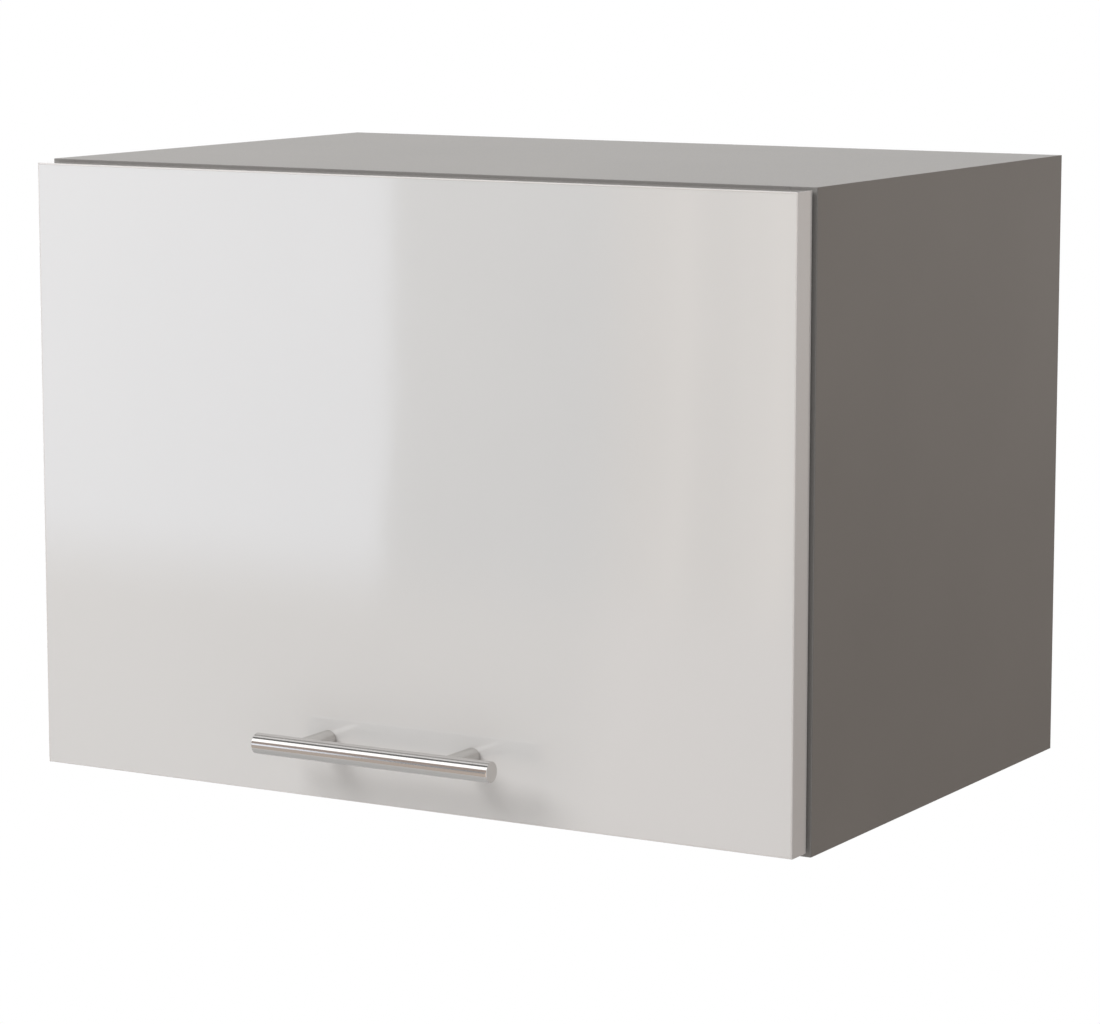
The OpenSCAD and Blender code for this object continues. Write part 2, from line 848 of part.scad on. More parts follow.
module stay_spring() {
    n = spring_turns * spring_steps;
    m = wire_sides;
    height = nose_z - plunger_body - seat_z - 0.2;
    rings = [for (i = [0 : n]) spring_ring(i / n, height)];
    points = [for (ring = rings) for (p = ring) p];
    walls = [
        for (i = [0 : n - 1])
            for (k = [0 : m - 1])
                let(a = i * m + k, b = i * m + (k + 1) % m)
                    each [[a, a + m, b + m], [a, b + m, b]]
    ];
    ends = [[for (k = [0 : m - 1]) k], [for (k = [0 : m - 1]) n * m + m - 1 - k]];
    translate([shaft_u, B[0], seat_z + 0.1])
        polyhedron(points, concat(walls, ends));
}

module stay_base_left() {
    color("gainsboro") at_left() stay_base();
}

module stay_base_right() {
    color("gainsboro") at_right() stay_base();
}

module stay_cover_left() {
    color("white") at_left() stay_cover();
}

module stay_cover_right() {
    color("white") at_right() stay_cover();
}

module stay_camshaft_left() {
    color("dimgray") at_left() stay_camshaft();
}

module stay_camshaft_right() {
    color("dimgray") at_right() stay_camshaft();
}

module stay_lever_left() {
    color("silver") at_left() stay_lever();
}

module stay_lever_right() {
    color("silver") at_right() stay_lever();
}

module stay_elbow_pin_left() {
    color("gray") at_left() linkage_pin(E);
}

module stay_elbow_pin_right() {
    color("gray") at_right() linkage_pin(E);
}

module stay_link_left() {
    color("silver") at_left() stay_link();
}

module stay_link_right() {
    color("silver") at_right() stay_link();
}

module stay_plunger_left() {
    color("goldenrod") at_left() stay_plunger();
}

module stay_plunger_right() {
    color("goldenrod") at_right() stay_plunger();
}

module stay_spring_left() {
    color("slategray") at_left() stay_spring();
}

module stay_spring_right() {
    color("slategray") at_right() stay_spring();
}

// ---- door ----

// The door's panels without their holes, from y0 to y0 + t.
module door_slab(y0, t) {
    translate([door_band_t - door_w / 2, y0 - body_d, door_z0 + door_band_t])
        cube([door_w - 2 * door_band_t, t, door_h - 2 * door_band_t]);
}

// Holes of the two handle screws.
module handle_bores(y0, y1) {
    for (s = [-1, 1])
        translate([0, -body_d, 0])
            y_rod([s * handle_spacing / 2, door_z0 + handle_height],
                  handle_screw_d / 2 + seat_fit, y0, y1);
}

module door_core() {
    back = -door_gap;
    color("tan") difference() {
        door_slab(back - core_t, core_t);
        handle_bores(back - core_t - 1, back + 1);
        for (side = [-1, 1])
            at_hinge(side) {
                y_rod([0, cup_z], cup_d / 2 + seat_fit, back - cup_depth - 0.1, back + 1);
                for (s = [-1, 1])
                    y_rod([s * cup_screw_spacing / 2, cup_z - cup_screw_drop], pilot_r,
                          back + cup_flange_t - screw_len - seat_fit, back + 1);
            }
        at_both()
            for (z = bracket_screw_zs)
                y_rod([bracket_u, z], pilot_r,
                      back + bracket_t - screw_len - seat_fit, back + 1);
    }
}

module door_gloss_sheet() {
    color("gainsboro") difference() {
        door_slab(door_face, sheet_t);
        handle_bores(door_face - 1, door_face + sheet_t + 1);
    }
}

// The door band's section: 0 to t in x, with the two outer edges rounded.
module door_band_section() {
    r = door_edge_r;
    square([door_band_t - r, door_t]);
    translate([0, r]) square([door_band_t, door_t - 2 * r]);
    for (y = [r, door_t - r])
        intersection() {
            translate([door_band_t - r, y]) circle(r);
            square([door_band_t, door_t]);
        }
}

module door_side_bands() {
    color("white") for (s = [0, 1])
        mirror([s, 0, 0])
            translate([door_w / 2 - door_band_t, door_face - body_d, door_z0])
                linear_extrude(door_h) door_band_section();
}

module door_top_bottom_bands() {
    length = door_w - 2 * door_band_t;
    color("white") {
        translate([length / 2, door_face - body_d, door_z1 - door_band_t])
            rotate([0, -90, 0]) linear_extrude(length) door_band_section();
        translate([-length / 2, door_face - body_d, door_z0 + door_band_t])
            rotate([0, 90, 0]) linear_extrude(length) door_band_section();
    }
}

module door_buffers() {
    t = door_gap - 0.05;
    r = buffer_d / 2;
    color("lightgray") at_both()
        translate([-board_t / 2, -door_gap, door_z0 + r + 1.5])
            rotate([-90, 0, 0]) rotate_extrude()
                polygon([[0, 0], [r, 0], [r, t / 2], [r - t / 2, t], [0, t]]);
}

// Every wood screw in the door: hinge cups and lever brackets.
module door_screws() {
    color("silver") {
        for (side = [-1, 1])
            at_hinge(side)
                for (s = [-1, 1])
                    translate([s * cup_screw_spacing / 2, cup_flange_t - door_gap,
                               cup_z - cup_screw_drop])
                        rotate([-90, 0, 0]) wood_screw();
        at_both()
            for (z = bracket_screw_zs)
                translate([bracket_u, bracket_t - door_gap, z])
                    rotate([-90, 0, 0]) wood_screw();
    }
}

// A foot on the door and an ear that carries the link's pin.
module door_bracket() {
    foot_h = 36;
    foot_w = 26;
    difference() {
        union() {
            translate([lever_u + foot_w / 2, bracket_t - door_gap, S[1]])
                rotate([90, 0, 0]) linear_extrude(bracket_t) rounded([foot_w, foot_h], 2.5);
            yz_plate(lever_u, lever_t) {
                translate(S) circle(eye_r);
                translate([-door_gap, S[1] - eye_r]) square([S[0] + door_gap, 2 * eye_r]);
            }
        }
        x_rod(S, link_pin_r + seat_fit, lever_u - 1, lever_u + lever_t + 1);
        for (z = bracket_screw_zs)
            y_rod([bracket_u, z], pilot_r, -door_gap - 1, bracket_t + 1);
    }
}

module door_bracket_left() {
    color("silver") at_left() door_bracket();
}

module door_bracket_right() {
    color("silver") at_right() door_bracket();
}

module door_bracket_pins() {
    color("gray") at_both() linkage_pin(S);
}

// ---- handle ----

// Places what is drawn from the bar's middle, with z = 0 at the bar's axis.
module at_handle() {
    translate([0, door_face - bar_reach - body_d, door_z0 + handle_height]) children();
}

module handle_bar() {
    edge = 0.6;
    r = bar_d / 2;
    color("silver") at_handle()
        translate([-bar_len / 2, 0, 0]) rotate([0, 90, 0]) rotate_extrude($fn = 96) {
            translate([0, edge]) square([r, bar_len - 2 * edge]);
            square([r - edge, bar_len]);
            translate([r - edge, edge]) intersection() {
                circle(edge);
                translate([0, -edge]) square(edge);
            }
            translate([r - edge, bar_len - edge]) intersection() {
                circle(edge);
                square(edge);
            }
        }
}

// A post from the door's face to the bar, cut to the bar's round.
module handle_post(side) {
    thread = 12;
    color("silver") at_handle() difference() {
        y_rod([side * handle_spacing / 2, 0], post_d / 2, 0, bar_reach);
        rotate([0, 90, 0])
            cylinder(r = bar_d / 2 + seat_fit, h = bar_len, center = true, $fn = 96);
        y_rod([side * handle_spacing / 2, 0], handle_screw_d / 2 + seat_fit,
              bar_reach - thread - 1, bar_reach + 1);
    }
}

module handle_post_left() {
    handle_post(-1);
}

module handle_post_right() {
    handle_post(1);
}

module handle_screws() {
    thread = 12;
    color("silver") for (s = [-1, 1])
        translate([s * handle_spacing / 2, -door_gap - body_d, door_z0 + handle_height])
            rotate([-90, 0, 0]) pan_screw(handle_screw_d, door_t + thread, 4.5, 2.2);
}

side_panel_left();
side_panel_right();
top_panel();
bottom_panel();
back_panel();
side_edge_bands();
top_bottom_edge_bands();
wood_dowels();
cam_locks();
cam_bolts();
cam_caps();
cabinet_screws();
hanger_block_left();
hanger_block_right();
hanger_hook_left();
hanger_hook_right();
hanger_covers();
hanger_adjusters();
hinge_plates();
hinge_arm_left();
hinge_arm_right();
hinge_arm_pins();
hinge_arm_screws();
hinge_link_left();
hinge_link_right();
stay_base_left();
stay_base_right();
stay_cover_left();
stay_cover_right();
stay_camshaft_left();
stay_camshaft_right();
stay_lever_left();
stay_lever_right();
stay_elbow_pin_left();
stay_elbow_pin_right();
stay_link_left();
stay_link_right();
stay_plunger_left();
stay_plunger_right();
stay_spring_left();
stay_spring_right();
door_core();
door_gloss_sheet();
door_side_bands();
door_top_bottom_bands();
door_buffers();
door_screws();
door_bracket_left();
door_bracket_right();
door_bracket_pins();
hinge_cup_left();
hinge_cup_right();
hinge_cup_pins();
handle_bar();
handle_post_left();
handle_post_right();
handle_screws();
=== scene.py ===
"""Lift-up wall cabinet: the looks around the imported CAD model.

Everything is in metres in the CAD's frame: +X to the right, -Y to the front, +Z up,
the wall at y = 0 and the cabinet's underside at z = 0.
"""
import json
import math

import bmesh
import bpy
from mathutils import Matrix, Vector


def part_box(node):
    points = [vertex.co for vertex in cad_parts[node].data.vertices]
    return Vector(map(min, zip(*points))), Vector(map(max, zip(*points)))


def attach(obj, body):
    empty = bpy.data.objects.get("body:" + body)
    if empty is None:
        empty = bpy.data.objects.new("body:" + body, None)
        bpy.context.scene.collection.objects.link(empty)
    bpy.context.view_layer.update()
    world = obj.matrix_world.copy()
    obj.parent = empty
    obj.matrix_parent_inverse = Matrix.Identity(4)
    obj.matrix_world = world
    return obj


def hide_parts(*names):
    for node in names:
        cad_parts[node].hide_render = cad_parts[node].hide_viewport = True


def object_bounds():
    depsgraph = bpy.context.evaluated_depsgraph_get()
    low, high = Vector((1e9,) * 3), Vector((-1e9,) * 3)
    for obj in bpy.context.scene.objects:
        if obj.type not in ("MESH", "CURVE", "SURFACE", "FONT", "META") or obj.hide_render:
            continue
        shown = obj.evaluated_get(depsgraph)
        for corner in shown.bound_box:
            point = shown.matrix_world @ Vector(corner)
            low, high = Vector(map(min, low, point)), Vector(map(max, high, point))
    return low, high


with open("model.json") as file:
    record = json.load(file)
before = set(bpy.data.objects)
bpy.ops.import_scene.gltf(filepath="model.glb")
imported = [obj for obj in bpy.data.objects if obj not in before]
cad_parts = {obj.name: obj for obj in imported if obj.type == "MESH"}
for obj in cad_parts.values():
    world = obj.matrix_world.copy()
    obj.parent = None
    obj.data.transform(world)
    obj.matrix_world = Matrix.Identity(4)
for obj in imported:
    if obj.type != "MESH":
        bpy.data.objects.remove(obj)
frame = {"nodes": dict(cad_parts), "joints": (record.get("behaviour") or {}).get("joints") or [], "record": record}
CAD_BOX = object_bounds()
MM = 0.001


# ---- camera, fitted to the photograph's corners ----

CAMERA_AZIMUTH = math.radians(30.16)
CAMERA_ELEVATION = math.radians(8.585)
CAMERA_DISTANCE = 2.1804
CAMERA_TARGET = Vector((0.0875, -0.328, 0.1762))
CAMERA_REACH = 100

# Blender takes the lens and the sensor's width in millimetres.
CAMERA_LENS = 129.08
CAMERA_SENSOR = 36


def direction(azimuth, elevation):
    """The unit vector to a place seen at these angles: azimuth from the front to +X."""
    level = math.cos(elevation)
    return Vector((math.sin(azimuth) * level, -math.cos(azimuth) * level, math.sin(elevation)))


def make_camera():
    """The camera of the photograph's view."""
    data = bpy.data.cameras.new("camera")
    data.lens = CAMERA_LENS
    data.sensor_width = CAMERA_SENSOR
    data.clip_end = CAMERA_REACH
    camera = bpy.data.objects.new("camera", data)
    away = direction(CAMERA_AZIMUTH, CAMERA_ELEVATION)
    camera.location = CAMERA_TARGET + away * CAMERA_DISTANCE
    camera.rotation_euler = away.to_track_quat("Z", "Y").to_euler()
    bpy.context.scene.collection.objects.link(camera)
    bpy.context.scene.camera = camera


# ---- node materials ----

# Most of a noise's values lie in this range.
NOISE_RANGE = (0.3, 0.7)
# How far a surface's normal lies along an axis: it begins to face that way at the first
# share, and does so fully from the second.
FACING_RANGE = (0.6, 0.8)


def rgba(colour):
    """The colour with full alpha; a node's output stays as it is."""
    return (*colour, 1) if isinstance(colour, tuple) else colour


class Finish:
    """A material whose nodes are made by kind. A value is a number or a node's output."""

    def __init__(self, name):
        self.material = bpy.data.materials.new(name)
        self.material.use_nodes = True
        self.tree = self.material.node_tree
        self.bsdf = self.tree.nodes["Principled BSDF"]
        self.where = self.node("ShaderNodeTexCoord")
        self.place = self.where.outputs["Object"]

    def feed(self, socket, value):
        """Links the socket to a node's output, or sets it to a number."""
        if isinstance(value, bpy.types.NodeSocket):
            self.tree.links.new(value, socket)
        else:
            socket.default_value = value

    def surface(self, **sockets):
        """Sets sockets of the Principled BSDF, by their names in small letters."""
        for name, value in sockets.items():
            label = name.replace("_", " ").title().replace("Ior", "IOR")
            self.feed(self.bsdf.inputs[label], value)

    def show(self, shader):
        """The shader takes the place of the Principled BSDF."""
        self.feed(self.tree.nodes["Material Output"].inputs["Surface"], shader)

    def node(self, kind, inputs=(), **settings):
        """A new node: its settings, and values for its inputs by name or number."""
        made = self.tree.nodes.new(kind)
        for name, value in settings.items():
            setattr(made, name, value)
        for name, value in dict(inputs).items():
            self.feed(made.inputs[name], value)
        return made

    def stretched(self, scale):
        """The place on the piece, with each axis scaled."""
        return self.node("ShaderNodeMapping", {"Vector": self.place, "Scale": scale}).outputs[0]

    def noise(self, scale, detail, roughness=0.5):
        """Noise of so many cells to the metre, along X, Y and Z."""
        sizes = scale if isinstance(scale, tuple) else (scale, scale, scale)
        inputs = {"Vector": self.stretched(sizes), "Scale": 1.0, "Detail": detail,
                  "Roughness": roughness}
        return self.node("ShaderNodeTexNoise", inputs).outputs["Fac"]

    def cells(self, scale):
        """Cells of a random grey each, so many to the metre along X, Y and Z."""
        made = self.node("ShaderNodeTexVoronoi", {"Vector": self.stretched(scale), "Scale": 1.0})
        grey = self.node("ShaderNodeSeparateColor", {"Color": made.outputs["Color"]})
        return grey.outputs[0]

    def remap(self, value, low, high, source=NOISE_RANGE, smooth=False):
        """The value's source range spread from low to high, and held at both ends."""
        inputs = {"Value": value, "From Min": source[0], "From Max": source[1],
                  "To Min": low, "To Max": high}
        kind = "SMOOTHSTEP" if smooth else "LINEAR"
        return self.node("ShaderNodeMapRange", inputs, interpolation_type=kind).outputs["Result"]

    def combine(self, operation, first, second):
        """One number out of two, by an operation of the Math node."""
        return self.node("ShaderNodeMath", {0: first, 1: second}, operation=operation).outputs[0]

    def blend(self, share, first, second):
        """A mix of two colours. The Mix node's colour sockets go by number, because its
        sockets of other types have the same names."""
        inputs = {0: share, 6: rgba(first), 7: rgba(second)}
        return self.node("ShaderNodeMix", inputs, data_type="RGBA").outputs[2]

    def mottled(self, colour, pattern, spread, source=NOISE_RANGE):
        """The colour made darker and lighter by the spread, as the pattern goes up."""
        dark = tuple(c * (1 - spread) for c in colour)
        light = tuple(c * (1 + spread) for c in colour)
        return self.blend(self.remap(pattern, 0.0, 1.0, source), dark, light)

    def facing(self, axis):
        """1 where the piece's own surface faces along the axis, such as '+Y'."""
        parts = self.node("ShaderNodeSeparateXYZ", {"Vector": self.where.outputs["Normal"]})
        sign = 1 if axis[0] == "+" else -1
        source = [sign * share for share in FACING_RANGE]
        return self.remap(parts.outputs[axis[1]], 0.0, 1.0, source)

    def bump(self, height, depth, strength):
        """The surface's normal as the height, from 0 to 1, lifts it by up to the depth."""
        inputs = {"Height": height, "Distance": depth, "Strength": strength}
        return self.node("ShaderNodeBump", inputs).outputs["Normal"]


def chipboard(look, stretch):
    """The colour of sawn chipboard: flat flakes, coarse and fine, in pale to dark wood.
    Stretch says how many times thinner the flakes are along X, Y and Z."""

    def cells_per_metre(count):
        return tuple(count * thinner for thinner in stretch)

    coarse = look.cells(cells_per_metre(350))
    fine = look.remap(look.cells(cells_per_metre(1300)), 0.0, 0.75, (0.5, 1.0))
    specks = look.remap(look.noise(cells_per_metre(900), detail=3), 0.0, 0.8, (0.60, 0.68))
    colour = look.blend(coarse, (0.38, 0.25, 0.13), (0.62, 0.46, 0.28))
    colour = look.blend(fine, colour, (0.70, 0.55, 0.36))
    return look.blend(specks, colour, (0.16, 0.09, 0.045))


def carcase_board(name, stretch):
    """Warm grey melamine with a fine pearl grain, and bare chipboard to the wall."""
    look = Finish(name)
    grain = look.noise(1500, detail=3)
    clouded = look.combine("ADD", grain, look.noise(9, detail=2))
    face = look.mottled((0.188, 0.171, 0.155), clouded, spread=0.04, source=(0.75, 1.25))
    rear = look.facing("+Y")
    satin = look.remap(grain, 0.31, 0.37)
    bare = look.combine("MULTIPLY", rear, 0.85)
    look.surface(
        base_color=look.blend(rear, face, chipboard(look, stretch)),
        roughness=look.combine("MAXIMUM", satin, bare),
        specular_ior_level=0.35,
        normal=look.bump(look.noise(1100, detail=2), depth=0.02 * MM, strength=0.5),
    )
    return look.material


def carcase_band():
    """The boards' edge band: a little paler than they are, with fine lines in its sheen."""
    look = Finish("carcase_band")
    grain = look.noise(1800, detail=2)
    look.surface(
        base_color=look.mottled((0.24, 0.231, 0.222), grain, spread=0.04),
        roughness=look.remap(look.noise((40, 40, 2400), detail=2), 0.3, 0.42),
        specular_ior_level=0.3,
        normal=look.bump(look.noise(900, detail=2), depth=0.015 * MM, strength=0.4),
    )
    return look.material


def back_board():
    """Thin hardboard: a pale grey print to the inside, brown felted fibre elsewhere."""
    look = Finish("back_board")
    fibre = look.noise((900, 900, 260), detail=5, roughness=0.65)
    raw = look.blend(look.remap(fibre, 0.0, 1.0), (0.20, 0.122, 0.066), (0.41, 0.27, 0.16))
    printed = look.mottled((0.36, 0.335, 0.305), look.noise(1300, detail=2), spread=0.03)
    inside = look.facing("-Y")
    look.surface(
        base_color=look.blend(inside, raw, printed),
        roughness=look.remap(inside, 0.8, 0.42, (0.0, 1.0)),
        specular_ior_level=0.3,
        normal=look.bump(fibre, depth=0.08 * MM, strength=0.5),
    )
    return look.material


def door_board():
    """White melamine on the door's back; the sawn and bored edges are chipboard."""
    look = Finish("door_board")
    face = look.mottled((0.70, 0.70, 0.69), look.noise(1400, detail=3), spread=0.02)
    look.surface(
        base_color=look.blend(look.facing("+Y"), chipboard(look, (1, 3, 1)), face),
        roughness=look.remap(look.noise(1100, detail=2), 0.38, 0.48),
        specular_ior_level=0.4,
        normal=look.bump(look.noise(1000, detail=2), depth=0.015 * MM, strength=0.5),
    )
    return look.material


def gloss(name, colour):
    """Clear gloss over white: the faint unevenness shows only in what it mirrors."""
    look = Finish(name)
    fine_peel = look.combine("MULTIPLY", look.noise(260, detail=2), 0.12)
    peel = look.combine("ADD", look.noise(28, detail=2), fine_peel)
    waves = look.bump(peel, depth=0.06 * MM, strength=0.35)
    look.surface(
        base_color=look.mottled(colour, look.noise(6, detail=3), spread=0.008),
        roughness=look.remap(look.noise(700, detail=2), 0.05, 0.08),
        normal=waves,
        coat_weight=1.0,
        coat_roughness=0.02,
        coat_normal=waves,
    )
    return look.material


def steel(name, colour, rough, brush, depth=0.01, spread=0.06):
    """Metal with fine brush lines. Brush gives the lines to the metre along X, Y and Z,
    rough the range of the roughness, and depth is in millimetres."""
    look = Finish(name)
    lines = look.noise(brush, detail=4, roughness=0.6)
    cloud = look.noise(35, detail=3)
    worn = look.combine("ADD", look.combine("MULTIPLY", lines, 0.7),
                        look.combine("MULTIPLY", cloud, 0.3))
    look.surface(
        base_color=look.mottled(colour, lines, spread),
        roughness=look.remap(worn, *rough),
        metallic=1.0,
        normal=look.bump(lines, depth * MM, strength=0.5),
    )
    return look.material


def plastic(name, colour, rough, **sockets):
    """Moulded plastic with a fine spark-eroded grain and faint flow marks."""
    look = Finish(name)
    grain = look.noise(2200, detail=2)
    flow = look.noise((60, 60, 25), detail=3)
    look.surface(
        base_color=look.mottled(colour, flow, spread=0.03),
        roughness=look.remap(grain, rough - 0.05, rough + 0.06),
        normal=look.bump(grain, depth=0.03 * MM, strength=0.4),
        **sockets,
    )
    return look.material


def beech():
    """Dowel wood. Its grain runs along X, as the dowels lie."""
    look = Finish("beech")
    grain = look.noise((60, 900, 900), detail=4, roughness=0.6)
    look.surface(
        base_color=look.blend(look.remap(grain, 0.0, 1.0), (0.36, 0.21, 0.10), (0.60, 0.42, 0.24)),
        roughness=look.remap(grain, 0.5, 0.7),
        normal=look.bump(grain, depth=0.05 * MM, strength=0.5),
    )
    return look.material


def make_materials():
    """One material for each slot of the record. The level boards have their own one, where
    the chipboard's flakes lie flat."""
    return {
        "carcase_board": carcase_board("carcase_board", (3, 1, 1)),
        "carcase_board_level": carcase_board("carcase_board_level", (1, 1, 3)),
        "carcase_band": carcase_band(),
        "back_board": back_board(),
        "door_board": door_board(),
        "door_gloss": gloss("door_gloss", (0.665, 0.652, 0.64)),
        "door_band": gloss("door_band", (0.66, 0.63, 0.61)),
        "handle_steel": steel("handle_steel", (0.60, 0.585, 0.57), (0.10, 0.14), (16, 2600, 2600),
                              depth=0.001, spread=0.02),
        "bright_zinc": steel("bright_zinc", (0.66, 0.66, 0.64), (0.29, 0.35), (700, 700, 700),
                             depth=0.004, spread=0.03),
        "dark_steel": steel("dark_steel", (0.24, 0.24, 0.25), (0.28, 0.42), (900, 900, 900)),
        "screw_zinc": steel("screw_zinc", (0.68, 0.68, 0.66), (0.25, 0.38), (1500, 1500, 1500)),
        "white_plastic": plastic("white_plastic", (0.70, 0.70, 0.685), 0.42),
        "plunger_plastic": plastic("plunger_plastic", (0.62, 0.44, 0.14), 0.4),
        "cap_plastic": plastic("cap_plastic", (0.175, 0.162, 0.150), 0.45),
        "beech": beech(),
        "buffer_rubber": plastic("buffer_rubber", (0.62, 0.62, 0.60), 0.3, transmission_weight=0.4),
    }


# ---- meshes ----

WELD_DISTANCE = 0.002 * MM
FLAT_ANGLE = math.radians(0.5)
SHARP_ANGLE = math.radians(32)
EDGE_SEGMENTS = 2
# The highest weight: the largest face at a corner gives the corner's normal.
LARGEST_FACE = 100


def smooth(piece):
    """Smooth shading whose normals keep the flat faces flat, as a fixed part of the mesh."""
    piece.data.polygons.foreach_set("use_smooth", [True] * len(piece.data.polygons))
    weighted = piece.modifiers.new("normals", "WEIGHTED_NORMAL")
    weighted.weight = LARGEST_FACE
    bpy.context.view_layer.update()
    seen = piece.evaluated_get(bpy.context.evaluated_depsgraph_get())
    finished = bpy.data.meshes.new_from_object(seen)
    piece.modifiers.clear()
    piece.data = finished
    finished.name = piece.name


def mesh_of(shape, name):
    """The finished shape as a mesh, without slivers that have no area."""
    bmesh.ops.dissolve_degenerate(shape, dist=WELD_DISTANCE, edges=shape.edges)
    mesh = bpy.data.meshes.new(name)
    shape.to_mesh(mesh)
    shape.free()
    return mesh


def cad_shape(mesh):
    """A CAD mesh as flat faces, without the cuts that only split them."""
    shape = bmesh.new()
    shape.from_mesh(mesh)
    bmesh.ops.remove_doubles(shape, verts=shape.verts, dist=WELD_DISTANCE)
    bmesh.ops.dissolve_limit(shape, angle_limit=FLAT_ANGLE, verts=shape.verts,
                             edges=shape.edges)
    return shape


def round_edges(shape, edges, width, segments):
    """Rounds these edges of the shape by the width."""
    bmesh.ops.bevel(shape, geom=edges, offset=width, offset_type="OFFSET", segments=segments,
                    profile=0.5, affect="EDGES", clamp_overlap=True)


def soften(shape, width):
    """Rounds every sharp edge of the shape by the width."""
    sharp = [edge for edge in shape.edges
             if len(edge.link_faces) == 2 and edge.calc_face_angle() > SHARP_ANGLE]
    round_edges(shape, sharp, width, EDGE_SEGMENTS)


def loft(rings, name):
    """A closed mesh through rings of equally many points; one point alone is a pole."""
    shape = bmesh.new()
    made = [[shape.verts.new(point) for point in ring] for ring in rings]
    for first, second in zip(made, made[1:]):
        for i in range(max(len(first), len(second))):
            corners = (first[i % len(first)], first[(i + 1) % len(first)],
                       second[(i + 1) % len(second)], second[i % len(second)])
            shape.faces.new(dict.fromkeys(corners))
    bmesh.ops.recalc_face_normals(shape, faces=shape.faces)
    return mesh_of(shape, name)


def round_corner(width, steps):
    """Points of a quarter circle that rounds a corner: from (0, width) to (width, 0)."""
    for i in range(steps + 1):
        turn = math.pi / 2 * i / steps
        yield width * (1 - math.cos(turn)), width * (1 - math.sin(turn))


def cut(mesh, cutters):
    """The mesh without the space of the cutters."""
    solid = bpy.data.objects.new("solid", mesh)
    bpy.context.scene.collection.objects.link(solid)
    tools = []
    for cutter in cutters:
        tool = bpy.data.objects.new("tool", cutter)
        bpy.context.scene.collection.objects.link(tool)
        taken = solid.modifiers.new("taken", "BOOLEAN")
        taken.operation = "DIFFERENCE"
        taken.solver = "EXACT"
        taken.object = tool
        tools.append(tool)
    bpy.context.view_layer.update()
    seen = solid.evaluated_get(bpy.context.evaluated_depsgraph_get())
    left = bpy.data.meshes.new_from_object(seen)
    for spent in (solid, *tools):
        bpy.data.objects.remove(spent)
    return left


# ---- pieces that stand for CAD nodes ----

BODY_OF = {node: body for body, nodes in frame["record"]["behaviour"]["bodies"].items()
           for node in nodes}
SLOT_OF = {part["node"]: part["material_slot"] for part in frame["record"]["subparts"]}
LEVEL_BOARDS = ("top_panel", "bottom_panel")

# The rounding of the nodes' edges, in millimetres. A star stands for left and for right.
SOFT_EDGES = {
    "side_panel_*": 0.35,
    "top_panel": 0.35,
    "bottom_panel": 0.35,
    "back_panel": 0.15,
    "side_edge_bands": 0.3,
    "top_bottom_edge_bands": 0.3,
    "cam_caps": 0.15,
    "hanger_block_*": 0.5,
    "hanger_hook_*": 0.4,
    "hinge_plates": 0.3,
    "hinge_arm_*": 0.3,
    "hinge_link_*": 0.25,
    "hinge_cup_*": 0.2,
    "stay_base_*": 0.3,
    "stay_camshaft_*": 0.2,
    "stay_elbow_pin_*": 0.2,
    "door_side_bands": 0.12,
    "door_top_bottom_bands": 0.12,
    "door_buffers": 0.1,
    "door_bracket_*": 0.35,
    "door_bracket_pins": 0.2,
}


def add_piece(name, mesh, node):
    """A piece that stands for a CAD node, with its body, slot and material."""
    mesh.materials.clear()
    mesh.materials.append(frame["nodes"][node].data.materials[0])
    piece = bpy.data.objects.new(name, mesh)
    bpy.context.scene.collection.objects.link(piece)
    smooth(piece)
    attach(piece, BODY_OF[node])
    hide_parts(node)


def finish_nodes(materials):
    """Every CAD node gets its material, and those in the table a copy with soft edges."""
    for node, part in frame["nodes"].items():
        kind = SLOT_OF[node] + ("_level" if node in LEVEL_BOARDS else "")
        part.data.materials.clear()
        part.data.materials.append(materials[kind])
        width = SOFT_EDGES.get(node.replace("_left", "_*").replace("_right", "_*"))
        if width:
            shape = cad_shape(part.data)
            soften(shape, width * MM)
            add_piece(node + "_soft", mesh_of(shape, node), node)


# ---- handle ----

CIRCLE_POINTS = 128
BAR_EDGE = 0.6 * MM
BAR_EDGE_STEPS = 6
POST_EDGE = 0.3 * MM
POST_EDGE_STEPS = 3
POST_FIT = 0.05 * MM
THREAD_RADIUS = 2.05 * MM
THREAD_DEPTH = 13 * MM
# The rings of a post's end that lies on the bar, as shares of the post's radius.
SADDLE_SHARES = (0.4, 0.7, 0.9, 1.0)


def circle(radius):
    """Points round a circle of this radius, as pairs."""
    for i in range(CIRCLE_POINTS):
        turn = 2 * math.pi * i / CIRCLE_POINTS
        yield radius * math.cos(turn), radius * math.sin(turn)


def handle_bar():
    """The turned bar with rounded ends."""
    low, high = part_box("handle_bar")
    middle = (low + high) / 2
    radius = (high.z - low.z) / 2
    corner = list(round_corner(BAR_EDGE, BAR_EDGE_STEPS))
    stations = [(low.x + inset, radius - drop) for inset, drop in corner]
    stations += [(high.x - inset, radius - drop) for inset, drop in reversed(corner)]
    rings = [[(low.x, middle.y, middle.z)]]
    for x, reach in stations:
        rings.append([(x, middle.y + y, middle.z + z) for y, z in circle(reach)])
    rings.append([(high.x, middle.y, middle.z)])
    add_piece("handle_bar_round", loft(rings, "handle_bar"), "handle_bar")


